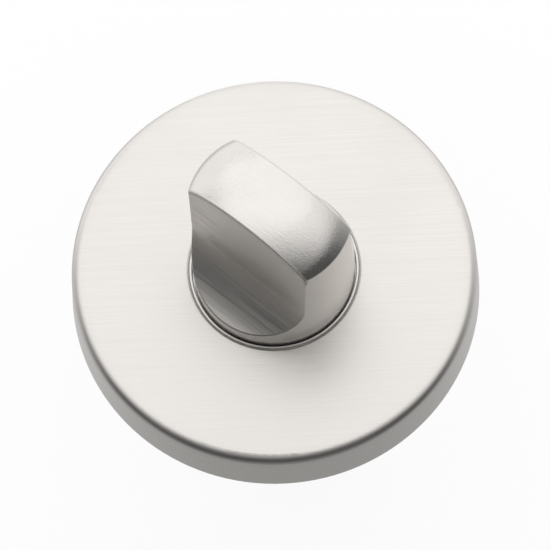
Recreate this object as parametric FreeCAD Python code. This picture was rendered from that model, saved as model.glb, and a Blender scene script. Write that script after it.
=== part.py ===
import FreeCAD, Part
import math
import os

# Bathroom thumb turn on a round rose, in millimetres.
# The door's face is the plane z = 0. The turn's axis is +Z, out of the door.
# +X is level along the door and +Y is up the door.

# Rose cover: a pressed cup with a collar drawn into its middle
ROSE_D = 52.0
ROSE_H = 8.0
COVER_T = 1.0
WALL_DRAFT = 0.4        # how much the radius shrinks from the door to the face
RIM_R = 1.1             # rounding between face and side wall
HOLE_EDGE_R = 0.4       # rounding where the collar is drawn in
COLLAR_GAP = 0.3        # left between the collar and the fixing plate
BEND_IN_R = 0.35        # inside of the pressed bends

# Head: a round bar with a domed top and two scoops that leave a grip
HEAD_D = 20.4
HEAD_RISE = 24.5        # from the rose's face to the crown
HEAD_SUNK = 1.45        # from the rose's face down to the head's foot
GRIP_T = 8.6            # thickness of the grip at its crown
GRIP_DRAFT = 1.5        # degrees on each flank
SCOOP_R = 8.35
SCOOP_Z = 10.3          # height of the scoop's centre over the rose's face
DOME_H = 4.4            # half height of the ellipse that is turned to make the dome
DOME_OUT = 0.4          # how far outside the head that ellipse reaches
HEAD_BREAK = 0.2        # broken edges
REST_ANGLE = 135.0      # the grip's direction, from +X, halfway between its stops

# Stem, one piece with the head
STEM_D = 14.0
FLAT_DEPTH = 1.0        # of each of the two flats that key the stop disc
GROOVE_DEPTH = 0.55     # under the circlip
STEM_TAIL = 1.5         # of stem past the circlip
STEM_CHAMFER = 0.4

# Spindle and its cross pin
SPINDLE_SIDE = 5.0
SPINDLE_CHAMFER = 0.35
SPINDLE_LENGTH = 75.0
SOCKET_DEPTH = 17.0     # of the square socket, from the stem's end
PIN_D = 2.5
PIN_SHORT = 0.3         # each end lies this far inside the stem
PIN_CHAMFER = 0.2

# Neck bush
BUSH_FLANGE_T = 0.6
BUSH_LIP_T = 0.3
BUSH_LIP_H = 0.45       # of the lip over the flange
LIP_BREAK = 0.08        # chamfer along the lip
BUSH_WALL = 1.35
BUSH_SLEEVE = 2.5       # length behind the flange
BUSH_KEY = 2.4          # width of the two keys that stop it turning
BUSH_KEY_OUT = 1.0

# Fixing plate
PLATE_T = 1.5
PLATE_GAP = 0.2         # to the cover's wall

# Nylon support
SUPPORT_GAP = 0.5       # to the cover's wall
SUPPORT_FLOOR = 1.4
SUPPORT_WALL = 1.6
HUB_WEB = 0.8           # ledge under the bush
HUB_WALL = 1.4
RIB_COUNT = 12
RIB_T = 1.2
BOSS_R = 4.5
SPIGOT_R = 3.9
SPIGOT_OUT = 2.5        # into the door's bolt holes

# Rivets through plate and support
RIVET_COUNT = 4
RIVET_FIRST = 45.0
RIVET_INSET = 7.0       # centres, in from the rose's edge
RIVET_D = 3.0
RIVET_HEAD_D = 5.2
RIVET_HEAD_H = 0.7
RIVET_BREAK = 0.2       # chamfer round its heads

# Leaf springs that the cover snaps over
CLIP_ANGLES = (30.0, 150.0, 210.0, 330.0)
CLIP_T = 0.5
CLIP_W = 6.0
CLIP_LEG = 3.2
CLIP_BOW = 0.65
CLIP_FOOT = 0.6         # of the free end over the door's face

# Bolts and wood screws
FIX_INSET = 7.0         # centres, in from the rose's edge: 38 mm apart
BOLT_D = 4.0
BOLT_HEAD_D = 7.6
BOLT_NECK_D = 3.5       # unthreaded neck inside the rose
BOLT_LENGTH = 40.0
BOLT_POINT = 0.4        # chamfer at the end
SCREW_D = 4.0
SCREW_HEAD_D = 7.6
SCREW_NECK_D = 3.0
SCREW_LENGTH = 25.0
SCREW_POINT = 7.0
SCREW_TIP_R = 0.2
HEAD_LAND = 0.2         # straight rim of a countersunk head
THREAD_IN = 0.5         # a thread begins this far in front of the door's face
RELIEF_H = 1.5          # height over the door's face of the wider bore round it
CROSS_W = 0.9
CROSS_L = 4.2
CROSS_BOTTOM = 1.7      # length of the cross at its bottom
CROSS_DEPTH = 1.2

# Stop disc, washers and circlip behind the hub
WAVE_H = 0.7
WAVE_T = 0.3
WAVE_COUNT = 3
WAVE_STEPS = 8          # sections in each wave
WASHER_T = 0.5
WASHER_WIDTH = 1.9
DISC_T = 1.2
DISC_WIDTH = 2.0        # radial, outside the stem
TAB_OUT = 2.8           # how far the tab stands out of the disc
TAB_HALF = 12.0         # half its width, in degrees
TURN_HALF = 45.0        # degrees to either side of rest
CIRCLIP_T = 0.9
CIRCLIP_W = 1.7
CIRCLIP_GAP = 26.0      # degrees, half of its opening
LUG_R = 1.5
LUG_HOLE_R = 0.6
LUG_IN = 0.75           # of a lug's centre inside the ring's edge

# Clearances
RUN = 0.05              # radial, for a shaft that turns in a bore
HEAD_RUN = 0.1          # radial, head in the bush's lip
FIT = 0.05              # pieces that are put together and stay
PLAY = 0.05             # along the axis, between turning and fixed faces
HOLE_EASE = 0.25        # radial, round a screw's shank
RELIEF_EASE = 1.2       # radial, round the thread: the bore takes the end of a threaded post
LIP_GAP = 0.07          # radial, bush lip in the cover's collar
WASHER_EASE = 0.25      # radial, washers on the stem
DISC_EASE = 0.6         # radial, disc and tab in the support's recess
STOP_EASE = 0.6         # degrees left between tab and stop at the limits

# Levels and radii that follow from the sizes above
head_r = HEAD_D / 2
stem_r = STEM_D / 2
lip_inner_r = head_r + HEAD_RUN
lip_outer_r = lip_inner_r + BUSH_LIP_T
hole_r = lip_outer_r + LIP_GAP
foot_z = ROSE_H - HEAD_SUNK
crown_z = ROSE_H + HEAD_RISE
bush_floor_z = foot_z - PLAY
plate_top_z = bush_floor_z - BUSH_FLANGE_T
support_top_z = plate_top_z - PLATE_T
bore_r = stem_r + RUN
sleeve_r = bore_r + BUSH_WALL
sleeve_end_z = plate_top_z - BUSH_SLEEVE
web_back_z = sleeve_end_z - HUB_WEB
wave_back_z = web_back_z - WAVE_H
washer_back_z = wave_back_z - WASHER_T
disc_back_z = washer_back_z - DISC_T
circlip_back_z = disc_back_z - CIRCLIP_T
stem_low_z = circlip_back_z - STEM_TAIL
groove_r = stem_r - GROOVE_DEPTH
flats = STEM_D - 2 * FLAT_DEPTH
pin_z = (bush_floor_z + sleeve_end_z) / 2
disc_r = stem_r + DISC_WIDTH
tab_r = disc_r + TAB_OUT
recess_r = disc_r + DISC_EASE
pocket_r = tab_r + DISC_EASE
hub_r = pocket_r + HUB_WALL
floor_z = support_top_z - SUPPORT_FLOOR
tab_angle = REST_ANGLE - 90.0

FAR = 200.0             # longer than anything here


def wall_r(z):
    """Outer radius of the cover's side wall at height z."""
    return ROSE_D / 2 - WALL_DRAFT * z / ROSE_H


def inner_r(z):
    """Inner radius of the cover's side wall at height z."""
    return wall_r(z) - COVER_T


def vec(x, y, z):
    return FreeCAD.Vector(x, y, z)


def polar(radius, angle, z=0.0):
    a = math.radians(angle)
    return vec(radius * math.cos(a), radius * math.sin(a), z)


def rod(radius, z_low, z_high, at=None):
    """A round bar along Z between two levels."""
    centre = at or vec(0, 0, 0)
    base = vec(centre.x, centre.y, z_low)
    return Part.makeCylinder(radius, z_high - z_low, base)


def ring(r_in, r_out, z_low, z_high):
    """A flat washer between two levels."""
    return rod(r_out, z_low, z_high).cut(rod(r_in, z_low - 1, z_high + 1))


def turned(points, centre=None):
    """A solid of revolution from (radius, z) corners round a line parallel to Z."""
    outline = [vec(r, 0, z) for r, z in points]
    face = Part.Face(Part.makePolygon(outline + outline[:1]))
    solid = face.revolve(vec(0, 0, 0), vec(0, 0, 1), 360)
    if centre:
        solid.translate(centre)
    return solid


def spun(shape, angle):
    """A copy turned about the axis of the rose."""
    copy = shape.copy()
    copy.rotate(vec(0, 0, 0), vec(0, 0, 1), angle)
    return copy


def sector(radius, z_low, z_high, middle, half):
    """A slice of a disc, centred on one direction."""
    slab = Part.makeCylinder(radius, z_high - z_low, vec(0, 0, z_low), vec(0, 0, 1), 2 * half)
    return spun(slab, middle - half)


def group(solids):
    """Separate solids that share one node."""
    return Part.makeCompound(solids)


def one(shape):
    """The single solid of a shape, with seams between like faces removed."""
    return shape.removeSplitter().Solids[0]


def fixing_points(along_x):
    """Centres of the two bolts (level) or the two wood screws (one over the other)."""
    half = ROSE_D / 2 - FIX_INSET
    if along_x:
        return [vec(half, 0, 0), vec(-half, 0, 0)]
    return [vec(0, half, 0), vec(0, -half, 0)]


def arc(p, q, r):
    """An arc through three (radius, z) points."""
    return Part.Arc(vec(p[0], 0, p[1]), vec(q[0], 0, q[1]), vec(r[0], 0, r[1])).toShape()


def line(p, q):
    return Part.LineSegment(vec(p[0], 0, p[1]), vec(q[0], 0, q[1])).toShape()


def quarter(centre, radius, from_angle, to_angle):
    """Three points of an arc about a (radius, z) centre."""
    found = []
    for a in (from_angle, (from_angle + to_angle) / 2, to_angle):
        t = math.radians(a)
        found.append((centre[0] + radius * math.cos(t), centre[1] + radius * math.sin(t)))
    return found


# Rose

def rose_cover():
    """A pressed cup: face, rounded rim, drafted wall, and a collar drawn in at the hole."""
    lean = math.degrees(math.atan(WALL_DRAFT / ROSE_H))
    face_z = ROSE_H
    under_z = ROSE_H - COVER_T
    collar_z = plate_top_z + COLLAR_GAP
    rim = quarter((wall_r(face_z) - RIM_R, face_z - RIM_R), RIM_R, lean, 90)
    lip = quarter((hole_r + HOLE_EDGE_R, face_z - HOLE_EDGE_R), HOLE_EDGE_R, 90, 180)
    collar_out = hole_r + COVER_T
    bend = quarter((collar_out + BEND_IN_R, under_z - BEND_IN_R), BEND_IN_R, 180, 90)
    inside = quarter((inner_r(under_z) - BEND_IN_R, under_z - BEND_IN_R), BEND_IN_R, 90, lean)
    foot_out = (wall_r(0), 0)
    foot_in = (inner_r(0), 0)
    collar_low = (hole_r, collar_z)
    collar_low_out = (collar_out, collar_z)
    edges = [
        line(foot_out, rim[0]),
        arc(*rim),
        line(rim[2], lip[0]),
        arc(*lip),
        line(lip[2], collar_low),
        line(collar_low, collar_low_out),
        line(collar_low_out, bend[0]),
        arc(*bend),
        line(bend[2], inside[0]),
        arc(*inside),
        line(inside[2], foot_in),
        line(foot_in, foot_out),
    ]
    return Part.Face(Part.Wire(edges)).revolve(vec(0, 0, 0), vec(0, 0, 1), 360)


def countersink(points, shank_r, wide_r, top_z):
    """Holes for countersunk heads flush with top_z, wider at the back where the thread is."""
    hole = shank_r + HOLE_EASE
    relief = shank_r + RELIEF_EASE
    wide = wide_r + FIT
    low = top_z - HEAD_LAND
    cutter = [
        (0, top_z + 1),
        (wide, top_z + 1),
        (wide, low),
        (hole, low - (wide - hole)),
        (hole, RELIEF_H),
        (relief, RELIEF_H),
        (relief, -FAR),
        (0, -FAR),
    ]
    return [turned(cutter, p) for p in points]


def fixing_holes():
    """The four countersunk holes through plate and support."""
    bolts = countersink(fixing_points(True), BOLT_D / 2, BOLT_HEAD_D / 2, plate_top_z)
    screws = countersink(fixing_points(False), SCREW_D / 2, SCREW_HEAD_D / 2, plate_top_z)
    return bolts + screws


def rivet_points():
    step = 360.0 / RIVET_COUNT
    radius = ROSE_D / 2 - RIVET_INSET
    return [polar(radius, RIVET_FIRST + i * step) for i in range(RIVET_COUNT)]


def bush_keys(width, reach):
    """The two keys of the neck bush, or with more width and reach their notches."""
    bar = Part.makeBox(2 * reach, width, PLATE_T, vec(-reach, -width / 2, support_top_z))
    return spun(bar, 45.0)


def fixing_plate():
    """Steel disc with the bush's hole, countersunk fixing holes and rivet holes."""
    radius = inner_r(plate_top_z) - PLATE_GAP
    plate = rod(radius, support_top_z, plate_top_z)
    plate = plate.cut(rod(sleeve_r + FIT, 0, ROSE_H))
    plate = plate.cut(bush_keys(BUSH_KEY + 2 * FIT, sleeve_r + BUSH_KEY_OUT + FIT))
    for hole in fixing_holes():
        plate = plate.cut(hole)
    for p in rivet_points():
        plate = plate.cut(rod(RIVET_D / 2 + FIT, 0, ROSE_H, p))
    return one(plate)


def support_ring():
    """Ribbed nylon body: floor, outer wall, hub with stops, bosses and door spigots."""
    outer = inner_r(support_top_z) - SUPPORT_GAP
    body = rod(outer, floor_z, support_top_z)
    body = body.fuse(ring(outer - SUPPORT_WALL, outer, 0, floor_z))
    body = body.fuse(rod(hub_r, 0, floor_z))
    rib_length = outer - SUPPORT_WALL / 2
    for i in range(RIB_COUNT):
        rib = Part.makeBox(rib_length, RIB_T, floor_z, vec(0, -RIB_T / 2, 0))
        body = body.fuse(spun(rib, 360.0 * (i + 0.5) / RIB_COUNT))
    for p in fixing_points(True):
        body = body.fuse(rod(BOSS_R, 0, floor_z, p))
        body = body.fuse(rod(SPIGOT_R, -SPIGOT_OUT, 0, p))
    for p in fixing_points(False):
        body = body.fuse(rod(BOSS_R, 0, floor_z, p))
    for p in rivet_points():
        body = body.fuse(rod(RIVET_HEAD_D / 2 + 1, 0, floor_z, p))
    body = body.cut(rod(sleeve_r + FIT, sleeve_end_z, ROSE_H))
    body = body.cut(rod(stem_r + WASHER_EASE, 0, ROSE_H))
    body = body.cut(rod(recess_r, -1, web_back_z))
    sweep = TURN_HALF + TAB_HALF + STOP_EASE
    body = body.cut(sector(pocket_r, -1, web_back_z, tab_angle, sweep))
    for hole in fixing_holes():
        body = body.cut(hole)
    for p in rivet_points():
        body = body.cut(rod(RIVET_D / 2 + FIT, -1, ROSE_H, p))
        body = body.cut(rod(RIVET_HEAD_D / 2 + FIT, -1, floor_z, p))
    for angle in CLIP_ANGLES:
        body = body.cut(spun(clip_notch(outer), angle))
    return one(body)


def rivet(centre):
    """A rivet with low flat heads, on the plate and under the support's floor."""
    shank = RIVET_D / 2
    head = RIVET_HEAD_D / 2
    broken = head - RIVET_BREAK
    top = plate_top_z + RIVET_HEAD_H
    low = floor_z - RIVET_HEAD_H
    return turned([
        (0, low),
        (broken, low),
        (head, low + RIVET_BREAK),
        (head, floor_z),
        (shank, floor_z),
        (shank, plate_top_z),
        (head, plate_top_z),
        (head, top - RIVET_BREAK),
        (broken, top),
        (0, top),
    ], centre)


def plate_rivets():
    return group([rivet(p) for p in rivet_points()])


# Clips

def clip_bow_r():
    """How far out a clip's bow reaches: just short of the cover's curved wall."""
    mid_z = (support_top_z + CLIP_FOOT) / 2
    return math.sqrt(inner_r(mid_z) ** 2 - (CLIP_W / 2) ** 2) - FIT


def cover_clip():
    """A leaf spring: one leg under the plate, the other bowed out against the cover."""
    top = support_top_z
    low = CLIP_FOOT
    mid = (top + low) / 2
    out = clip_bow_r()
    corner = out - CLIP_BOW
    leg_in = corner - CLIP_T - CLIP_LEG
    under = top - CLIP_T
    edges = [
        line((leg_in, top), (corner, top)),
        arc((corner, top), (out, mid), (corner, low)),
        line((corner, low), (corner - CLIP_T, low)),
        arc((corner - CLIP_T, low), (out - CLIP_T, mid), (corner - CLIP_T, under)),
        line((corner - CLIP_T, under), (leg_in, under)),
        line((leg_in, under), (leg_in, top)),
    ]
    leaf = Part.Face(Part.Wire(edges)).extrude(vec(0, CLIP_W, 0))
    leaf.translate(vec(0, -CLIP_W / 2, 0))
    return leaf


def clip_notch(outer):
    """Room for a clip: a slot for its leg and a gap in the support's wall."""
    width = CLIP_W + 2 * FIT
    corner = clip_bow_r() - CLIP_BOW
    leg_in = corner - CLIP_T - CLIP_LEG - FIT
    beyond = outer + 1
    slot_z = support_top_z - CLIP_T
    slot = Part.makeBox(beyond - leg_in, width, CLIP_T + 1, vec(leg_in, -width / 2, slot_z))
    back = corner - CLIP_T - FIT
    gap = Part.makeBox(beyond - back, width, support_top_z + 2, vec(back, -width / 2, -1))
    return slot.fuse(gap)


def cover_clips():
    return group([spun(cover_clip(), angle) for angle in CLIP_ANGLES])


# Bearing

def neck_bush():
    """Flanged metal bush whose lip shows round the head's foot."""
    lip_top = bush_floor_z + BUSH_LIP_H
    section = [
        (bore_r, sleeve_end_z),
        (sleeve_r, sleeve_end_z),
        (sleeve_r, plate_top_z),
        (lip_outer_r, plate_top_z),
        (lip_outer_r, lip_top - LIP_BREAK),
        (lip_outer_r - LIP_BREAK, lip_top),
        (lip_inner_r + LIP_BREAK, lip_top),
        (lip_inner_r, lip_top - LIP_BREAK),
        (lip_inner_r, bush_floor_z),
        (bore_r, bush_floor_z),
    ]
    bush = turned(section)
    keys = bush_keys(BUSH_KEY, sleeve_r + BUSH_KEY_OUT)
    keys = keys.cut(rod(sleeve_r - BUSH_WALL / 2, 0, ROSE_H))
    return one(bush.fuse(keys))


# Head, stem and spindle

def domed_bar():
    """The round bar that the head is made from, with its turned dome."""
    side = head_r + DOME_OUT
    centre_z = crown_z - DOME_H
    ellipse = Part.Ellipse(vec(side, 0, centre_z), vec(0, 0, crown_z), vec(0, 0, centre_z))
    edge_angle = math.acos(head_r / side)
    edge_z = centre_z + DOME_H * math.sin(edge_angle)
    edges = [
        line((0, foot_z), (head_r, foot_z)),
        line((head_r, foot_z), (head_r, edge_z)),
        Part.ArcOfEllipse(ellipse, edge_angle, math.pi / 2).toShape(),
        line((0, crown_z), (0, foot_z)),
    ]
    return Part.Face(Part.Wire(edges)).revolve(vec(0, 0, 0), vec(0, 0, 1), 360)


def scoop_cutter():
    """The hollow beside the grip: a drafted flank that runs into a round scoop."""
    draft = math.radians(GRIP_DRAFT)
    centre_z = ROSE_H + SCOOP_Z
    drop = crown_z - centre_z + SCOOP_R * math.sin(draft)
    centre_w = SCOOP_R * math.cos(draft) + GRIP_T / 2 + drop * math.tan(draft)
    scoop = quarter((centre_w, centre_z), SCOOP_R, 180 + GRIP_DRAFT, 270)
    over = crown_z + 2
    flank_top = scoop[0][0] - (over - scoop[0][1]) * math.tan(draft)
    outside = max(centre_w, head_r) + 1
    edges = [
        line((flank_top, over), scoop[0]),
        arc(*scoop),
        line(scoop[2], (outside, scoop[2][1])),
        line((outside, scoop[2][1]), (outside, over)),
        line((outside, over), (flank_top, over)),
    ]
    cutter = Part.Face(Part.Wire(edges)).extrude(vec(0, HEAD_D + 2, 0))
    cutter.translate(vec(0, -head_r - 1, 0))
    cutter.rotate(vec(0, 0, 0), vec(0, 0, 1), 90)
    return cutter


def head():
    """The grip along X, before it is turned to its place."""
    blank = domed_bar()
    cutter = scoop_cutter()
    blank = one(blank.cut(cutter).cut(spun(cutter, 180)))
    sharp = []
    for edge in blank.Edges:
        if edge.BoundBox.ZMax > foot_z + 1:
            if not is_smooth(blank, edge):
                sharp.append(edge)
    return blank.makeFillet(HEAD_BREAK, sharp)


def is_smooth(shape, edge):
    """True where the faces on both sides of an edge run into each other, or at a seam."""
    faces = [f for f in shape.Faces if any(e.isSame(edge) for e in f.Edges)]
    if len(faces) < 2:
        return True
    middle = edge.valueAt((edge.FirstParameter + edge.LastParameter) / 2)
    normals = []
    for face in faces:
        u, v = face.Surface.parameter(middle)
        normals.append(face.normalAt(u, v))
    return abs(normals[0].dot(normals[1])) > 0.999


def double_d(radius, across, z_low, z_high):
    """A round bar with two flats, which lie along the grip."""
    slab = Part.makeBox(2 * radius + 2, across, z_high - z_low, vec(-radius - 1, -across / 2, z_low))
    return rod(radius, z_low, z_high).common(slab)


def thumb_turn():
    """Head, stem with flats and groove, square socket and cross hole, in one piece."""
    stem = rod(stem_r, washer_back_z, foot_z)
    stem = stem.fuse(double_d(stem_r, flats, stem_low_z, washer_back_z))
    stem = stem.cut(ring(groove_r, stem_r + 1, circlip_back_z - FIT, disc_back_z))
    tip = turned([
        (stem_r - STEM_CHAMFER, stem_low_z - 1),
        (stem_r + 1, stem_low_z - 1),
        (stem_r + 1, stem_low_z + STEM_CHAMFER + 1),
        (stem_r - STEM_CHAMFER, stem_low_z),
    ])
    stem = stem.cut(tip)
    body = head().fuse(stem)
    side = SPINDLE_SIDE + 2 * FIT
    socket = Part.makeBox(side, side, SOCKET_DEPTH, vec(-side / 2, -side / 2, stem_low_z))
    body = body.cut(socket).cut(cross_hole(FIT / 2))
    return spun(one(body), REST_ANGLE)


def cross_hole(ease):
    """The cross pin's place, along the grip, or with some ease its hole."""
    length = STEM_D + 2
    return Part.makeCylinder(PIN_D / 2 + ease, length, vec(-length / 2, 0, pin_z), vec(1, 0, 0))


def spindle():
    """Square bar from the socket's end through the door."""
    top = stem_low_z + SOCKET_DEPTH - PLAY
    low = top - SPINDLE_LENGTH
    half = SPINDLE_SIDE / 2
    bar = Part.makeBox(SPINDLE_SIDE, SPINDLE_SIDE, SPINDLE_LENGTH, vec(-half, -half, low))
    corners = [e for e in bar.Edges if e.Length > SPINDLE_LENGTH / 2]
    bar = bar.makeChamfer(SPINDLE_CHAMFER, corners)
    bar = bar.cut(cross_hole(FIT / 2))
    return spun(one(bar), REST_ANGLE)


def spindle_pin():
    """Cross pin, a little shorter than the stem is thick."""
    length = STEM_D - 2 * PIN_SHORT
    pin = Part.makeCylinder(PIN_D / 2, length, vec(-length / 2, 0, pin_z), vec(1, 0, 0))
    pin = pin.makeChamfer(PIN_CHAMFER, [e for e in pin.Edges if e.Closed])
    return spun(pin, REST_ANGLE)


# Behind the hub

def wave_washer():
    """Thin sprung ring, waved between the hub's web and the flat washer."""
    inner = stem_r + WASHER_EASE
    outer = inner + WASHER_WIDTH
    middle = (web_back_z + wave_back_z) / 2
    swing = (WAVE_H - WAVE_T) / 2 - PLAY
    count = WAVE_COUNT * WAVE_STEPS
    sections = []
    for i in range(count):
        angle = 360.0 * i / count
        z = middle + swing * math.cos(math.radians(WAVE_COUNT * angle))
        low = z - WAVE_T / 2
        high = z + WAVE_T / 2
        corners = [
            polar(inner, angle, low),
            polar(outer, angle, low),
            polar(outer, angle, high),
            polar(inner, angle, high),
        ]
        sections.append(Part.makePolygon(corners + corners[:1]))
    return Part.makeLoft(sections, True, False, True)


def thrust_washer():
    inner = stem_r + FIT
    return ring(inner, inner + WASHER_WIDTH, washer_back_z, wave_back_z)


def stop_disc():
    """Stamped disc with a double-D hole and one tab that runs between the stops."""
    disc = rod(disc_r, disc_back_z, washer_back_z)
    tab = sector(tab_r, disc_back_z, washer_back_z, -90.0, TAB_HALF)
    hole = double_d(stem_r + FIT, flats + 2 * FIT, disc_back_z - 1, washer_back_z + 1)
    return spun(one(disc.fuse(tab).cut(hole)), REST_ANGLE)


def circlip():
    """Open ring in the stem's groove, with two lugs for the pliers."""
    inner = groove_r + FIT
    outer = inner + CIRCLIP_W
    low = circlip_back_z
    high = disc_back_z
    clip = ring(inner, outer, low, high)
    lug_at = outer - LUG_IN
    lug_angle = CIRCLIP_GAP + math.degrees(LUG_R / lug_at)
    lug_places = [polar(lug_at, a) for a in (lug_angle, -lug_angle)]
    for place in lug_places:
        clip = clip.fuse(rod(LUG_R, low, high, place))
    clip = clip.cut(rod(inner, low - 1, high + 1))
    clip = clip.cut(sector(outer + 2 * LUG_R, low - 1, high + 1, 0, CIRCLIP_GAP))
    for place in lug_places:
        clip = clip.cut(rod(LUG_HOLE_R, low - 1, high + 1, place))
    return spun(one(clip), REST_ANGLE)


# Screws

def cross_recess(top_z):
    """A cross for the screwdriver, narrower at its bottom."""
    bars = []
    for angle in (0, 90):
        low_z = top_z - CROSS_DEPTH
        top_half = CROSS_L / 2
        low_half = CROSS_BOTTOM / 2
        edges = [
            line((-top_half, top_z), (top_half, top_z)),
            line((top_half, top_z), (low_half, low_z)),
            line((low_half, low_z), (-low_half, low_z)),
            line((-low_half, low_z), (-top_half, top_z)),
        ]
        blade = Part.Face(Part.Wire(edges)).extrude(vec(0, CROSS_W, 0))
        blade.translate(vec(0, -CROSS_W / 2, 0))
        bars.append(spun(blade, angle))
    return bars[0].fuse(bars[1])


def countersunk(wide_r, neck_r, thread_r, length, point, tip_r, centre):
    """A flush screw that points into the door: head, plain neck, thread's outside and point."""
    top = plate_top_z
    land = top - HEAD_LAND
    tip = top - length
    step = thread_r - neck_r
    outline = [
        (0, top),
        (wide_r, top),
        (wide_r, land),
        (neck_r, land - (wide_r - neck_r)),
        (neck_r, THREAD_IN + step),
        (thread_r, THREAD_IN),
        (thread_r, tip + point),
        (tip_r, tip),
        (0, tip),
    ]
    screw = turned(outline).cut(cross_recess(top))
    screw.translate(centre)
    return screw


def through_bolts():
    wide = BOLT_HEAD_D / 2
    neck = BOLT_NECK_D / 2
    thread = BOLT_D / 2
    tip = thread - BOLT_POINT
    bolts = []
    for p in fixing_points(True):
        bolts.append(countersunk(wide, neck, thread, BOLT_LENGTH, BOLT_POINT, tip, p))
    return group(bolts)


def wood_screws():
    wide = SCREW_HEAD_D / 2
    neck = SCREW_NECK_D / 2
    thread = SCREW_D / 2
    tip = SCREW_TIP_R
    screws = []
    for p in fixing_points(False):
        screws.append(countersunk(wide, neck, thread, SCREW_LENGTH, SCREW_POINT, tip, p))
    return group(screws)


PIECES = {
    "rose_cover": rose_cover,
    "fixing_plate": fixing_plate,
    "support_ring": support_ring,
    "plate_rivets": plate_rivets,
    "cover_clips": cover_clips,
    "neck_bush": neck_bush,
    "thumb_turn": thumb_turn,
    "spindle": spindle,
    "spindle_pin": spindle_pin,
    "wave_washer": wave_washer,
    "thrust_washer": thrust_washer,
    "stop_disc": stop_disc,
    "circlip": circlip,
    "through_bolts": through_bolts,
    "wood_screws": wood_screws,
}

os.makedirs("parts", exist_ok=True)
for name, make in PIECES.items():
    shape = make()
    shape.exportStep("parts/" + name + ".step")
    box = shape.BoundBox
    size = "z %.2f to %.2f, volume %.1f" % (box.ZMin, box.ZMax, shape.Volume)
    print(name, len(shape.Solids), "solid(s), valid", shape.isValid(), size)
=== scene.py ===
# %% [markdown]
# # Finishing a bathroom thumb turn
# The object is the inside half of a bathroom door's lock. A satin stainless grip stands on a
# round rose, and behind the rose are the bush, plate, support, washers, spindle and screws
# that carry it. The frame brings each solid at its real size. This lesson gives every solid
# its finish, cuts real threads on the screws, and lights the whole as a small studio would.
#
# The frame is loaded first, and its box is kept.

# %% Load the frame
import math

import bmesh
import bpy
from mathutils import Matrix, Vector


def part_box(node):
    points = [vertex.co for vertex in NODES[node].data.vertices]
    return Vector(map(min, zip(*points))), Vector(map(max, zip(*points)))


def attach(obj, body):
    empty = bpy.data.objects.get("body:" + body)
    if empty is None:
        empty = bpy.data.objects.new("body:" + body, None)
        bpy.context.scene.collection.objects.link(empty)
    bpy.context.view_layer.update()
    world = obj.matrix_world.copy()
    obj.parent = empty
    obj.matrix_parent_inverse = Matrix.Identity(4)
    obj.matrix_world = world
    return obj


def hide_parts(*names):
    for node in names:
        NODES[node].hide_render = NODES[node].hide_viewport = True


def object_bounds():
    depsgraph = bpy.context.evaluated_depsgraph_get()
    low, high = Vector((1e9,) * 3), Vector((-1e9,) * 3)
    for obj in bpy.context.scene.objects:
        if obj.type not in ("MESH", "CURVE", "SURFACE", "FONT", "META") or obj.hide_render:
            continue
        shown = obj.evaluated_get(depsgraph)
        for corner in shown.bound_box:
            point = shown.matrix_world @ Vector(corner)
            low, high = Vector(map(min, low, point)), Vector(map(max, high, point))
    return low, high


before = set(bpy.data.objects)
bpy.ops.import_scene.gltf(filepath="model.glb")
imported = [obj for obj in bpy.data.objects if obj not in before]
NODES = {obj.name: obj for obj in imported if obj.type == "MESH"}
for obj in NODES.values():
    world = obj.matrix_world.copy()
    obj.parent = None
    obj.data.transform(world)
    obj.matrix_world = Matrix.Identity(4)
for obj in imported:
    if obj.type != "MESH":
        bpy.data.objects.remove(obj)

MM = 0.001
CAD_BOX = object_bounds()
print("solids loaded:", len(NODES))

# %% [markdown]
# ## The camera
# The photograph looks down on the rose, 19 degrees off the turn's axis. The rose's two
# ellipses gave that lean and the roll. A long lens far away keeps the ellipses as flat as
# they are there. The lens follows from how many pixels a millimetre covers.

# %% Camera
IMAGE = 550                    # pixels, both ways
PIXELS_PER_MM = 7.82           # at the point looked at
CAMERA_DISTANCE = 550 * MM
CAMERA_LEAN = math.radians(19.1)
CAMERA_AZIMUTH = math.radians(-0.9)
CAMERA_ROLL = math.radians(-4.7)
LOOK_AT = Vector((0.08, 1.79, 0.0)) * MM
SENSOR = 36.0                  # millimetres


def camera_axes(azimuth, elevation, roll):
    """Right, up and backward directions of a camera."""
    level = Vector((math.cos(azimuth), math.sin(azimuth), 0.0))
    back = Vector((
        math.sin(azimuth) * math.cos(elevation),
        -math.cos(azimuth) * math.cos(elevation),
        math.sin(elevation),
    ))
    above = back.cross(level)
    right = math.cos(roll) * level + math.sin(roll) * above
    up = math.cos(roll) * above - math.sin(roll) * level
    return right, up, back


right, up, back = camera_axes(CAMERA_AZIMUTH, math.pi / 2 - CAMERA_LEAN, CAMERA_ROLL)
lens = bpy.data.cameras.new("camera")
lens.sensor_width = SENSOR
lens.lens = SENSOR * PIXELS_PER_MM * CAMERA_DISTANCE / MM / IMAGE
lens.clip_start = 0.01
lens.clip_end = 20.0
camera = bpy.data.objects.new("camera", lens)
camera.matrix_world = Matrix((right, up, back)).transposed().to_4x4()
camera.location = LOOK_AT + CAMERA_DISTANCE * back
bpy.context.scene.collection.objects.link(camera)
bpy.context.scene.camera = camera
bpy.context.scene.view_settings.view_transform = "Standard"
print("lens: %.1f mm" % lens.lens)

# %% [markdown]
# ## Wires and finishes
# A material is a net of small nodes. Written out node by node it is long and hard to read,
# so a class wraps one output, and Python's own operators add the Math nodes: `1 - mask`
# and `streaks * 0.3` read as what they do. A second class holds a material while it is
# being made. Its one method `node` makes every other node: kind first, then settings, then
# the values or links of its sockets.

# %% Wires


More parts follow.
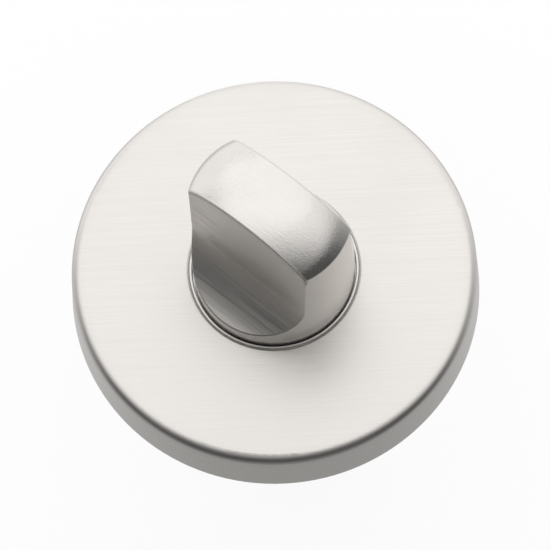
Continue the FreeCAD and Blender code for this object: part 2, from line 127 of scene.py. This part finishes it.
class Wire:
    """One output of a node. Sums and products of wires add Math nodes."""

    def __init__(self, finish, socket):
        self.finish = finish
        self.socket = socket

    def maths(self, operation, first, second=0.0):
        return self.finish.node("Math", {"operation": operation}, {0: first, 1: second})

    def __add__(self, other):
        return self.maths("ADD", self, other)

    def __radd__(self, other):
        return self.maths("ADD", other, self)

    def __sub__(self, other):
        return self.maths("SUBTRACT", self, other)

    def __rsub__(self, other):
        return self.maths("SUBTRACT", other, self)

    def __mul__(self, other):
        return self.maths("MULTIPLY", self, other)

    def __rmul__(self, other):
        return self.maths("MULTIPLY", other, self)

    def __truediv__(self, other):
        return self.maths("DIVIDE", self, other)


# %% Finishes


class Finish:
    """A material while it is made, with its nodes and the place on the piece."""

    def __init__(self, name):
        self.material = bpy.data.materials.new(name)
        self.material.use_nodes = True
        self.tree = self.material.node_tree
        self.tree.nodes.clear()
        self.place = self.node("TexCoord", output="Object")

    def node(self, kind, settings=None, inputs=None, output=0):
        """Any node: its kind, its settings, then its sockets. Gives one output as a wire."""
        made = self.tree.nodes.new("ShaderNode" + kind)
        for name, value in (settings or {}).items():
            setattr(made, name, value)
        for name, value in (inputs or {}).items():
            if isinstance(value, Wire):
                self.tree.links.new(value.socket, made.inputs[name])
            else:
                made.inputs[name].default_value = value
        return Wire(self, made.outputs[output]) if output is not None else made

    def step(self, value, low, high):
        """0 up to low, 1 from high, and a soft step between."""
        settings = {"interpolation_type": "SMOOTHSTEP"}
        sockets = {"Value": value, "From Min": low, "From Max": high}
        return self.node("MapRange", settings, sockets)

    def blend(self, mask, first, second):
        """A number between two numbers, by a mask."""
        return self.node("Mix", {"data_type": "FLOAT"}, {0: mask, 2: first, 3: second})

    def colour(self, mask, first, second):
        """A colour between two colours, by a mask."""
        sockets = {0: mask, 6: first, 7: second}
        return self.node("Mix", {"data_type": "RGBA"}, sockets, output=2)

    def noise(self, place, scale=1.0, detail=2.0):
        """A smooth random pattern about 0, mostly between -0.3 and 0.3."""
        sockets = {"Vector": place, "Scale": scale, "Detail": detail}
        return self.node("TexNoise", inputs=sockets) - 0.5

    def grain(self, turn, along, across, place=None, detail=2.0):
        """Noise drawn out along a direction in the XY plane, like brush lines."""
        sockets = {
            "Vector": place or self.place,
            "Rotation": (0.0, 0.0, turn),
            "Scale": (along, across, across),
        }
        return self.noise(self.node("Mapping", {"vector_type": "TEXTURE"}, sockets), detail=detail)

    def axes(self):
        """The x, y and z of a point as three wires."""
        return [self.node("SeparateXYZ", inputs={0: self.place}, output=i) for i in range(3)]

    def round_place(self):
        """Radius from the turn's axis, and a place unrolled to (arc, height) at radius 1."""
        x, y, z = self.axes()
        radius = x.maths("SQRT", x * x + y * y)
        angle = x.maths("ARCTAN2", y, x)
        unrolled = self.node("CombineXYZ", inputs={0: angle, 1: z, 2: radius})
        return radius, unrolled, z

    def close(self, sockets, height=None, depth=0.0, strength=1.0):
        """The shader, with the relief of a height field where there is one."""
        if height is not None:
            relief = {"Strength": strength, "Distance": depth, "Height": height}
            sockets = dict(sockets, Normal=self.node("Bump", inputs=relief))
        shader = self.node("BsdfPrincipled", inputs=sockets)
        self.node("OutputMaterial", inputs={"Surface": shader}, output=None)
        return self.material


def rgb(red, green, blue):
    return (red, green, blue, 1.0)

# %% [markdown]
# ## Satin stainless
# The rose and the turn are ground stainless steel. What reads as satin is hundreds of
# fine lines, each a shallow groove, so the lines are made as relief, and they also vary the
# shine and the tone a little. On the rose's face they run almost level, laid by one pass of a
# belt. On its side wall they run round it. On the grip they run along it, over the top and
# down into both scoops, and the round parts of the head keep the rings of the lathe.

# %% Steel colours
STEEL = rgb(0.87, 0.84, 0.805)
STEEL_DEEP = rgb(0.73, 0.705, 0.675)
# SHADOWED is painted shade: the near black that steel takes where a narrow gap would be in shade.
SHADOWED = rgb(0.03, 0.03, 0.035)
ROSE_GRAIN = math.radians(-3.0)

rose_low, rose_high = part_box("rose_cover")
turn_low, turn_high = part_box("thumb_turn")
rose_r = rose_high.x
face_z = rose_high.z
head_r = (turn_high.x - turn_low.x) / 2
print("rose %.1f mm across, head %.1f mm across" % (2 * rose_r / MM, 2 * head_r / MM))


def steel(finish, lines, broad, relief, roughness, spread=0.12, painted_shade=0.0):
    """Steel from its fine lines, its broad clouds, its roughness and a mask of painted shade."""
    tone = finish.colour(lines * 0.9 + broad * 0.7 + 0.5, STEEL_DEEP, STEEL)
    # Painted shade: where the mask is 1, the steel's tone gives way to near black.
    tone = finish.colour(painted_shade, tone, SHADOWED)
    rough = lines * spread + broad * 0.10 + roughness
    sockets = {"Base Color": tone, "Roughness": rough, "Metallic": 1.0}
    return finish.close(sockets, lines, relief)


# %% [markdown]
# On the rose three masks tell the places apart: the face, the side wall from where the rim
# turns down, and the rim itself, which a buffing wheel leaves a little duller.

# %% Rose finish
ROSE_ROUGHNESS = 0.31
ROSE_RELIEF = 0.010 * MM


def rose_steel():
    finish = Finish("satin_steel_rose")
    radius, unrolled, z = finish.round_place()
    level = finish.grain(ROSE_GRAIN, 14 * MM, 0.16 * MM)
    level = level + 0.6 * finish.grain(ROSE_GRAIN, 40 * MM, 0.55 * MM)
    rings = finish.grain(0.0, 0.5, 0.16 * MM, unrolled)
    side = finish.step(radius, rose_r - 1.3 * MM, rose_r - 0.9 * MM)
    lines = finish.blend(side, level, rings)
    broad = finish.noise(finish.place, 90.0, 3.0)
    rim = finish.step(radius, rose_r - 2.4 * MM, rose_r - 1.2 * MM)
    rim = rim * finish.step(z, face_z - 2.4 * MM, face_z - 1.0 * MM)
    matt = rim * 0.05 - side * 0.02
    return steel(finish, lines, broad, ROSE_RELIEF, matt + ROSE_ROUGHNESS)


# %% [markdown]
# The turn needs more masks. Its round outside is where the radius is the head's own, and the
# stem is all that lies below the foot. The dome's height is known at every radius, so what
# lies clearly below it, and inside the round, is a scoop. The grip's long edges get a matt
# band, because they were eased by hand. The lowest band of the round outside, down in the
# narrow gap at the foot, carries painted shade: it is coloured near black.

# %% Turn finish
GRIP_ANGLE = math.radians(135.0)
GRIP_HALF = 4.3 * MM           # half the grip's thickness
DOME_H = 4.4 * MM              # of the domed top
FOOT_Z = 6.5 * MM              # where the head ends and the stem begins
GAP_TOP = 7.84 * MM            # of the narrow gap round the foot
TURN_ROUGHNESS = 0.18
TURN_RELIEF = 0.018 * MM
TURN_SPREAD = 0.36             # of the roughness, from line to line


def turn_steel():
    finish = Finish("satin_steel_turn")
    radius, unrolled, z = finish.round_place()
    along = finish.grain(GRIP_ANGLE, 12 * MM, 0.14 * MM)
    coarse = finish.grain(GRIP_ANGLE, 14 * MM, 0.26 * MM, detail=3.0)
    rings = finish.grain(0.0, 0.6, 0.14 * MM, unrolled)
    broad = finish.noise(finish.place, 140.0, 3.0)
    outside = finish.step(radius, head_r - 0.12 * MM, head_r - 0.04 * MM)
    stem = 1.0 - finish.step(z, FOOT_Z - 0.1 * MM, FOOT_Z + 0.1 * MM)
    turned = outside.maths("MAXIMUM", outside, stem)
    share = radius / head_r
    crown = z.maths("SQRT", 1.0 - share * share) * DOME_H + (turn_high.z - DOME_H)
    below = finish.step(crown - z, 0.25 * MM, 0.50 * MM)
    scoop = below * (1.0 - outside)
    x, y, _ = finish.axes()
    across = x.maths("ABSOLUTE", x + y) * math.sqrt(0.5)
    edge = finish.step(across, GRIP_HALF - 0.30 * MM, GRIP_HALF - 0.16 * MM)
    edge = edge * (1.0 - below)
    # Painted shade: the lowest 0.24 mm of the head's round outside, down in the narrow gap at the
    # foot, is coloured near black.
    foot = outside * (1.0 - finish.step(z, GAP_TOP - 0.24 * MM, GAP_TOP))
    lines = finish.blend(turned, along + coarse * (scoop * 0.70 + 0.20), rings * 0.45)
    rough = scoop * (coarse * 0.15 + 0.22) + outside * 0.15 + edge * 0.35 + TURN_ROUGHNESS
    return steel(finish, lines, broad, TURN_RELIEF, rough, TURN_SPREAD, foot)


# %% [markdown]
# ## Nickel, zinc, spring steel and nylon
# The pieces behind the rose are plainer. The bush is turned brass under bright nickel, and
# keeps the rings of the lathe. Zinc plating is faintly blue, and a little cloudy where the
# bath coated it unevenly. Springs and clips are hardened in oil, which leaves them dark with
# brown patches. The support is dark nylon filled with glass, which shows as short flow marks.

# %% Nickel plating
def nickel(name, roughness=0.17):
    finish = Finish("nickel_" + name)
    _, unrolled, _ = finish.round_place()
    rings = finish.grain(0.0, 0.7, 0.12 * MM, unrolled)
    clouds = finish.noise(finish.place, 300.0, 2.0)
    tone = finish.colour(clouds + 0.5, rgb(0.78, 0.76, 0.73), rgb(0.86, 0.84, 0.82))
    rough = clouds * 0.12 + rings * 0.06 + roughness
    sockets = {"Base Color": tone, "Roughness": rough, "Metallic": 1.0}
    return finish.close(sockets, rings, 0.003 * MM)


# %% Zinc plating
def zinc(name, roughness=0.30):
    finish = Finish("zinc_" + name)
    clouds = finish.noise(finish.place, 260.0, 4.0)
    rolled = finish.grain(0.0, 9 * MM, 0.25 * MM)
    tone = finish.colour(clouds * 1.6 + 0.5, rgb(0.56, 0.575, 0.60), rgb(0.68, 0.68, 0.67))
    rough = clouds * 0.25 + rolled * 0.08 + roughness
    sockets = {"Base Color": tone, "Roughness": rough, "Metallic": 1.0}
    return finish.close(sockets, rolled + clouds * 0.6, 0.006 * MM)


# %% Spring steel
def spring_steel(name):
    finish = Finish("spring_" + name)
    patches = finish.noise(finish.place, 320.0, 3.0)
    drawn = finish.grain(0.6, 6 * MM, 0.2 * MM)
    tone = finish.colour(patches * 2.0 + 0.5, rgb(0.20, 0.20, 0.215), rgb(0.36, 0.335, 0.31))
    rough = patches * 0.3 + 0.36
    sockets = {"Base Color": tone, "Roughness": rough, "Metallic": 1.0}
    return finish.close(sockets, drawn + patches, 0.006 * MM)


# %% Nylon
def nylon(name):
    finish = Finish("nylon_" + name)
    skin = finish.noise(finish.place, 5200.0, 2.0)
    flow = finish.grain(0.9, 3.5 * MM, 0.35 * MM)
    clouds = finish.noise(finish.place, 180.0, 2.0)
    shade = flow * 1.2 + clouds * 0.8 + 0.5
    tone = finish.colour(shade, rgb(0.13, 0.13, 0.14), rgb(0.20, 0.20, 0.21))
    rough = clouds * 0.15 + skin * 0.2 + 0.46
    sockets = {"Base Color": tone, "Roughness": rough, "IOR": 1.53}
    return finish.close(sockets, skin + flow * 0.8, 0.006 * MM)


# %% Finishes on the solids
def wear(node, material):
    """Gives a solid its finish in place of the one it came with."""
    NODES[node].data.materials.clear()
    NODES[node].data.materials.append(material)


wear("rose_cover", rose_steel())
wear("thumb_turn", turn_steel())
wear("neck_bush", nickel("bush"))
wear("support_ring", nylon("support"))
for name in ("fixing_plate", "thrust_washer", "stop_disc", "spindle"):
    wear(name, zinc(name))
wear("plate_rivets", zinc("rivets", 0.24))
for name in ("cover_clips", "wave_washer", "circlip", "spindle_pin"):
    wear(name, spring_steel(name))
print("finishes:", len(bpy.data.materials))

# %% [markdown]
# ## The ring at the foot
# In the photograph a thin dark line runs round the head's foot, and outside it a bright ring
# that stands almost level with the rose's face. That ring is given here, on the bush's lip. It
# is turned, so its section is a short outline that is spun round the axis. The head turns
# inside it. The dark line is the narrow gap between them together with painted shade
# on the lowest band of the head's wall.

# %% Turning
MERGE = 1e-6                   # metres: nearer points than this become one


def turned(outline, steps, closed=False):
    """A turned body from (radius, height) corners. A closed outline makes a ring, and an
    open one has to start and end on the axis."""
    mesh = bmesh.new()
    points = [mesh.verts.new((r, 0.0, h)) for r, h in outline]
    following = points[1:] + points[:1] if closed else points[1:]
    for a, b in zip(points, following):
        mesh.edges.new((a, b))
    bmesh.ops.spin(
        mesh,
        geom=mesh.verts[:] + mesh.edges[:],
        cent=(0, 0, 0),
        axis=(0, 0, 1),
        angle=2 * math.pi,
        steps=steps,
        use_merge=True,
        use_duplicate=False,
    )
    bmesh.ops.remove_doubles(mesh, verts=mesh.verts, dist=MERGE)
    bmesh.ops.recalc_face_normals(mesh, faces=mesh.faces)
    return mesh


def as_object(name, mesh_source):
    """A new object in the scene from a bmesh, which is used up."""
    mesh = bpy.data.meshes.new(name)
    mesh_source.to_mesh(mesh)
    mesh_source.free()
    made = bpy.data.objects.new(name, mesh)
    bpy.context.scene.collection.objects.link(made)
    return made


def smooth_with_corners(piece):
    """Smooth shading that keeps the edges sharper than 35 degrees."""
    piece.data.shade_smooth()
    piece.data.set_sharp_from_angle(angle=math.radians(35))


# %% Ring at the foot
RING_IN = 10.41 * MM
RING_OUT = 10.63 * MM          # inside the rose's hole
RING_BRIM = 10.69 * MM         # over the hole's rounded edge
RING_LOW = 6.97 * MM
RING_TOP = 7.90 * MM
EASE = 0.04 * MM

section = [
    (RING_IN, RING_LOW),
    (RING_IN, RING_TOP - EASE),
    (RING_IN + EASE, RING_TOP),
    (RING_BRIM - EASE, RING_TOP),
    (RING_BRIM, RING_TOP - EASE),
    (RING_BRIM, RING_TOP - 2 * EASE),
    (RING_OUT, RING_TOP - 8 * EASE),
    (RING_OUT, RING_LOW),
]
ring = as_object("foot_collar", turned(section, steps=192, closed=True))
ring.data.materials.append(nickel("collar", 0.30))
smooth_with_corners(ring)
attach(ring, "rose")
print("ring at the foot:", len(ring.data.polygons), "faces")

# %% [markdown]
# ## Threads
# The solids give the screws the outside of their threads. Here the thread itself is cut. Its
# section over one pitch is a short chain of edges. Spun round the axis with a small step
# down on every turn, it winds into a helix, and because each turn ends where the next one
# starts, merging the doubles makes one closed wall. Planes cut it flat at both ends.

# %% Winding a thread
SEGMENTS = 28                  # round a thread
CUT = 1e-7                     # metres: points this near a cutting plane count as on it


def wind(section, pitch, z_from, z_to):
    """A closed threaded bar from a section of (radius, height) over one pitch."""
    mesh = bmesh.new()
    start = z_from - pitch
    points = [mesh.verts.new((r, 0.0, start + h)) for r, h in section]
    for a, b in zip(points, points[1:]):
        mesh.edges.new((a, b))
    turns = math.ceil((z_to - start) / pitch) + 1
    bmesh.ops.spin(
        mesh,
        geom=mesh.verts[:] + mesh.edges[:],
        cent=(0, 0, 0),
        axis=(0, 0, 1),
        dvec=(0, 0, pitch / SEGMENTS),
        angle=2 * math.pi * turns,
        steps=SEGMENTS * turns,
        use_merge=False,
        use_duplicate=False,
    )
    bmesh.ops.remove_doubles(mesh, verts=mesh.verts, dist=MERGE)
    for level, direction in ((z_from, -1), (z_to, 1)):
        cut = bmesh.ops.bisect_plane(
            mesh,
            geom=mesh.verts[:] + mesh.edges[:] + mesh.faces[:],
            dist=CUT,
            plane_co=(0, 0, level),
            plane_no=(0, 0, direction),
            clear_outer=True,
        )
        rim = [e for e in cut["geom_cut"] if isinstance(e, bmesh.types.BMEdge)]
        bmesh.ops.contextual_create(mesh, geom=rim)
    bmesh.ops.recalc_face_normals(mesh, faces=mesh.faces)
    return mesh


def vee(crest, root, pitch, crest_flat, root_flat):
    """A thread's section: half the root, a flank up, the crest, a flank down, the root."""
    flank = (pitch - crest_flat - root_flat) / 2
    return [
        (root, 0.0),
        (root, root_flat / 2),
        (crest, root_flat / 2 + flank),
        (crest, root_flat / 2 + flank + crest_flat),
        (root, pitch - root_flat / 2),
        (root, pitch),
    ]


# %% Driver's cross
CROSS_WIDTH = 0.9 * MM
CROSS_TOP = 4.2 * MM           # length of a slot at the head's face
CROSS_BOTTOM = 1.7 * MM        # and at its bottom
CROSS_DEPTH = 1.2 * MM
OVERSHOOT = 0.2 * MM           # of the cutter above the face


def cross(top):
    """The screwdriver's cross, as two tapered blades."""
    blades = bmesh.new()
    for turn in (0.0, math.pi / 2):
        made = bmesh.ops.create_cube(blades, size=1.0)["verts"]
        for v in made:
            length = CROSS_TOP if v.co.z > 0 else CROSS_BOTTOM
            level = top + OVERSHOOT if v.co.z > 0 else top - CROSS_DEPTH
            v.co = Vector((v.co.x * length, v.co.y * CROSS_WIDTH, level))
        bmesh.ops.rotate(blades, verts=made, cent=(0, 0, 0), matrix=Matrix.Rotation(turn, 3, "Z"))
    return blades


# %% Joining and cutting
def combined(target, tool, operation):
    """The target after it is joined with the tool, or cut by it. The tool is used up."""
    change = target.modifiers.new("change", "BOOLEAN")
    change.operation = operation
    change.solver = "EXACT"
    change.use_self = True
    change.object = tool
    bpy.context.view_layer.update()
    result = target.evaluated_get(bpy.context.evaluated_depsgraph_get())
    mesh = bpy.data.meshes.new_from_object(result)
    target.modifiers.clear()
    target.data = mesh
    bpy.data.objects.remove(tool)
    return target


# %% [markdown]
# ## The bolts and the wood screws
# Both have the same countersunk head. A bolt has a fine thread of 0.7 mm pitch down to a
# chamfered end. A wood screw has a coarse thread of 1.8 mm on a thinner core, and both core
# and crest taper to its point, so its finished wall is drawn in towards the axis there.

# %% Screw sizes
THREAD_R = 2.0 * MM
THREAD_TOP = 0.5 * MM          # where both threads begin, over the door's face
HEAD_R = 3.8 * MM
HEAD_LAND = 0.2 * MM           # straight rim of the countersunk head

bolt_low, bolt_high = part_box("through_bolts")
screw_low, screw_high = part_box("wood_screws")
fixing_r = (bolt_high.x - bolt_low.x) / 2 - HEAD_R
print("fixings %.2f mm from the axis" % (fixing_r / MM))


def screw_head(top, neck_r, low):
    """Head and neck with the cross cut out, as an object."""
    land = top - HEAD_LAND
    outline = [
        (0.0, top),
        (HEAD_R, top),
        (HEAD_R, land),
        (neck_r, land - (HEAD_R - neck_r)),
        (neck_r, low),
        (0.0, low),
    ]
    head = as_object("head", turned(outline, steps=48))
    return combined(head, as_object("blades", cross(top)), "DIFFERENCE")


# %% Ends of the threads
def drawn_to_point(mesh, low, length, tip_r):
    """Tapers a threaded bar to its point over the last length."""
    for v in mesh.verts:
        share = min(1.0, (v.co.z - low) / length)
        factor = (tip_r + (THREAD_R - tip_r) * share) / THREAD_R
        v.co.x *= factor
        v.co.y *= factor


def chamfered(mesh, low, length):
    """Keeps a threaded bar inside the chamfer at its end."""
    for v in mesh.verts:
        limit = THREAD_R - length + (v.co.z - low)
        radius = math.hypot(v.co.x, v.co.y)
        if radius > limit:
            v.co.x *= limit / radius
            v.co.y *= limit / radius


# %% Two of each
def placed_twice(name, made, along, node, material):
    """Two copies of a screw in one mesh, standing in for a node of the frame."""
    both = bmesh.new()
    for side in (1, -1):
        before = len(both.verts)
        both.from_mesh(made.data)
        both.verts.ensure_lookup_table()
        bmesh.ops.translate(both, verts=both.verts[before:], vec=side * fixing_r * along)
    bpy.data.objects.remove(made)
    piece = as_object(name, both)
    piece.data.materials.append(material)
    smooth_with_corners(piece)
    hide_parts(node)
    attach(piece, "rose")
    print(name, len(piece.data.polygons), "faces")
    return piece


# %% Bolts
LEVEL = Vector((1, 0, 0))
BOLT_PITCH = 0.7 * MM
BOLT_ROOT_R = THREAD_R - 0.61 * BOLT_PITCH
BOLT_NECK_R = 1.75 * MM
BOLT_CHAMFER = 0.4 * MM

section = vee(THREAD_R, BOLT_ROOT_R, BOLT_PITCH, BOLT_PITCH / 8, BOLT_PITCH / 4)
thread = wind(section, BOLT_PITCH, bolt_low.z, THREAD_TOP)
chamfered(thread, bolt_low.z, BOLT_CHAMFER)
bolt = as_object("bolt_thread", thread)
head = screw_head(bolt_high.z, BOLT_NECK_R, THREAD_TOP - BOLT_PITCH)
bolt = combined(bolt, head, "UNION")
placed_twice("threaded_bolts", bolt, LEVEL, "through_bolts", zinc("bolts"))

# %% Wood screws
UPRIGHT = Vector((0, 1, 0))
SCREW_PITCH = 1.8 * MM
SCREW_CORE_R = 1.3 * MM
SCREW_CREST = 0.06 * MM        # width of the thread's edge
SCREW_FLOOR = 0.7 * MM         # width of the core left between two turns
SCREW_NECK_R = 1.5 * MM
SCREW_TAPER = 7.0 * MM
SCREW_TIP_R = 0.2 * MM
NECK_IN = 0.4 * MM             # how far the neck reaches into the thread

section = vee(THREAD_R, SCREW_CORE_R, SCREW_PITCH, SCREW_CREST, SCREW_FLOOR)
thread = wind(section, SCREW_PITCH, screw_low.z, THREAD_TOP)
drawn_to_point(thread, screw_low.z, SCREW_TAPER, SCREW_TIP_R)
screw = as_object("screw_thread", thread)
head = screw_head(screw_high.z, SCREW_NECK_R, THREAD_TOP - NECK_IN)
screw = combined(screw, head, "UNION")
plating = zinc("screws", 0.26)
placed_twice("threaded_wood_screws", screw, UPRIGHT, "wood_screws", plating)

# %% [markdown]
# ## Floor and backdrop
# The floor lies just under the spindle's end, pale and plain, and the world behind it is
# white. Part of the floor is lit as paper is, and takes the piece's soft shadow. The rest
# glows evenly, so that the floor reads as white without any more light on the piece.

# %% Floor
FLOOR_Z = CAD_BOX[0][2] - 1 * MM
FLOOR_R = 4.0                  # metres
PAPER = 0.9                    # how much light paper gives back
PAPER_SHARE = 0.3              # of the floor that is lit as paper is, and so takes shadows


def stage_material(name, emission, paper_share=0.0):
    """A floor or screen with its own even light, and some share lit as paper is."""
    finish = Finish(name)
    light = finish.node("Emission", inputs={"Color": rgb(1, 1, 1), "Strength": emission(finish)})
    if paper_share:
        paper = finish.node("BsdfDiffuse", inputs={"Color": rgb(PAPER, PAPER, PAPER)})
        light = finish.node("MixShader", inputs={0: paper_share, 1: light, 2: paper})
    finish.node("OutputMaterial", inputs={"Surface": light}, output=None)
    finish.material.cycles.emission_sampling = "NONE"
    return finish.material


def seen_directly(finish):
    """1 for the camera and for what mirrors and glass show, 0 for the light on other things."""
    kinds = ("Is Camera", "Is Glossy", "Is Transmission")
    path = [finish.node("LightPath", output=kind + " Ray") for kind in kinds]
    return path[0].maths("MAXIMUM", path[0], path[1].maths("MAXIMUM", path[1], path[2]))


def floor_light(finish):
    """White where it is seen, and as bright as the paper is for the light on other things."""
    white = (1.0 - PAPER_SHARE * PAPER) / (1.0 - PAPER_SHARE)
    return finish.blend(seen_directly(finish), PAPER, white)


disc = bmesh.new()
bmesh.ops.create_circle(disc, cap_ends=True, segments=96, radius=FLOOR_R)
bmesh.ops.translate(disc, verts=disc.verts, vec=(0, 0, FLOOR_Z))
floor = as_object("floor", disc)
floor.data.materials.append(stage_material("floor_white", floor_light, PAPER_SHARE))
print("floor at %.1f mm" % (FLOOR_Z / MM))

# %% World
world = bpy.data.worlds.new("studio")
world.use_nodes = True
world.node_tree.nodes["Background"].inputs["Color"].default_value = rgb(1, 1, 1)
world.node_tree.nodes["Background"].inputs["Strength"].default_value = 1.0
bpy.context.scene.world = world
print("world:", world.name)

# %% [markdown]
# ## The tent and the table
# Steel is only as good as what it mirrors. In a white room it turns flat and milky. So a tent
# stands round the piece, white overhead and behind, and darker towards the camera and low
# down. The dark front gives the rim its dark line and the dome its shaded end, while the face
# still mirrors the bright top. Under it lies the table's grey cloth, which the head's side and
# scoops mirror. Only mirrored rays see the two, and they cast no shadow.

# %% Screens
SCREEN_R = 0.40                # metres
FRONT_DARK = 0.82              # how dark the tent gets towards the camera
LOW_DARK = 0.92                # and low down, all round but behind
LEFT_DARK = 0.25               # and low down on the left


def mirrored_only(screen):
    """Sets a screen's visibility so that only mirrored rays see it."""
    screen.visible_camera = False
    screen.visible_diffuse = False
    screen.visible_transmission = False
    screen.visible_volume_scatter = False
    screen.visible_shadow = False


def tent_light(finish):
    """White overhead and behind, and darker towards the front and low down."""
    x, y, z = finish.axes()
    x, y, z = x / SCREEN_R, y / SCREEN_R, z / SCREEN_R
    front = finish.step(0.0 - y - x * 0.15, -0.20, 0.62) * FRONT_DARK
    around = finish.step(0.0 - y - x * 0.08, -1.0, 0.55) * LOW_DARK
    left = finish.step(0.0 - x, 0.10, 0.55) * LEFT_DARK
    low = (1.0 - finish.step(z, 0.54, 0.93)) * around.maths("MAXIMUM", around, left)
    return 1.0 - front.maths("MAXIMUM", front, low)


dome = bmesh.new()
bmesh.ops.create_uvsphere(dome, u_segments=96, v_segments=48, radius=SCREEN_R)
table_cut = ((0, 0, FLOOR_Z), (0, 0, -1))
open_back = ((0, 0.5 * SCREEN_R, 0), (0, 1, 0))
for place, direction in (table_cut, open_back):
    bmesh.ops.bisect_plane(
        dome,
        geom=dome.verts[:] + dome.edges[:] + dome.faces[:],
        plane_co=place,
        plane_no=direction,
        clear_outer=True,
    )
tent = as_object("tent", dome)
tent.data.materials.append(stage_material("tent_grey", tent_light))
mirrored_only(tent)
print("tent:", len(tent.data.polygons), "faces")

# %% Table cloth
CLOTH_NEAR = 0.36              # brightness of the cloth in front of the piece
CLOTH_FAR = 0.2                # and where it ends, nearest the camera
BESIDE_DARK = 0.36             # how much darker it is to the left and right


def table_light(finish):
    """Grey cloth in front of the piece, which gives way to white behind it."""
    x, y, _ = finish.axes()
    in_front = finish.step(0.0 - y, -40 * MM, 50 * MM)
    far = finish.step(0.0 - y, 55 * MM, 100 * MM)
    beside = finish.step(x.maths("ABSOLUTE", x), 10 * MM, 60 * MM)
    grey = finish.blend(far, CLOTH_NEAR, CLOTH_FAR)
    return finish.blend(in_front, 1.0 - beside * BESIDE_DARK, grey)


cloth = bmesh.new()
bmesh.ops.create_circle(cloth, cap_ends=True, segments=96, radius=SCREEN_R)
bmesh.ops.translate(cloth, verts=cloth.verts, vec=(0, 0, FLOOR_Z + 0.5 * MM))
table = as_object("table_cloth", cloth)
table.data.materials.append(stage_material("cloth_grey", table_light))
mirrored_only(table)
print("cloth:", len(table.data.polygons), "faces")

# %% [markdown]
# ## The lamp
# The white world does most of the work. One large soft lamp, high up and a little behind,
# adds a trace of direction. It is kept low, so that the bright face doesn't clip.

# %% Lamp
LAMP_FROM = Vector((0.0, 0.42, 0.91))
LAMP_DISTANCE = 0.36           # metres, inside the tent
LAMP_SIDE = 0.36
LAMP_RADIANCE = 0.1            # over the white that is there already

softbox = bpy.data.lights.new("softbox", "AREA")
softbox.shape = "SQUARE"
softbox.size = LAMP_SIDE
softbox.energy = LAMP_RADIANCE * 4 * LAMP_SIDE * LAMP_SIDE
lamp = bpy.data.objects.new("softbox", softbox)
lamp.location = LAMP_FROM.normalized() * LAMP_DISTANCE
lamp.rotation_euler = LAMP_FROM.to_track_quat("Z", "Y").to_euler()
bpy.context.scene.collection.objects.link(lamp)
print("lamp: %.4f W" % softbox.energy)

# %% [markdown]
# ## Size
# The box of the solids was kept when the frame was loaded.

# %% Size
print("scene built")
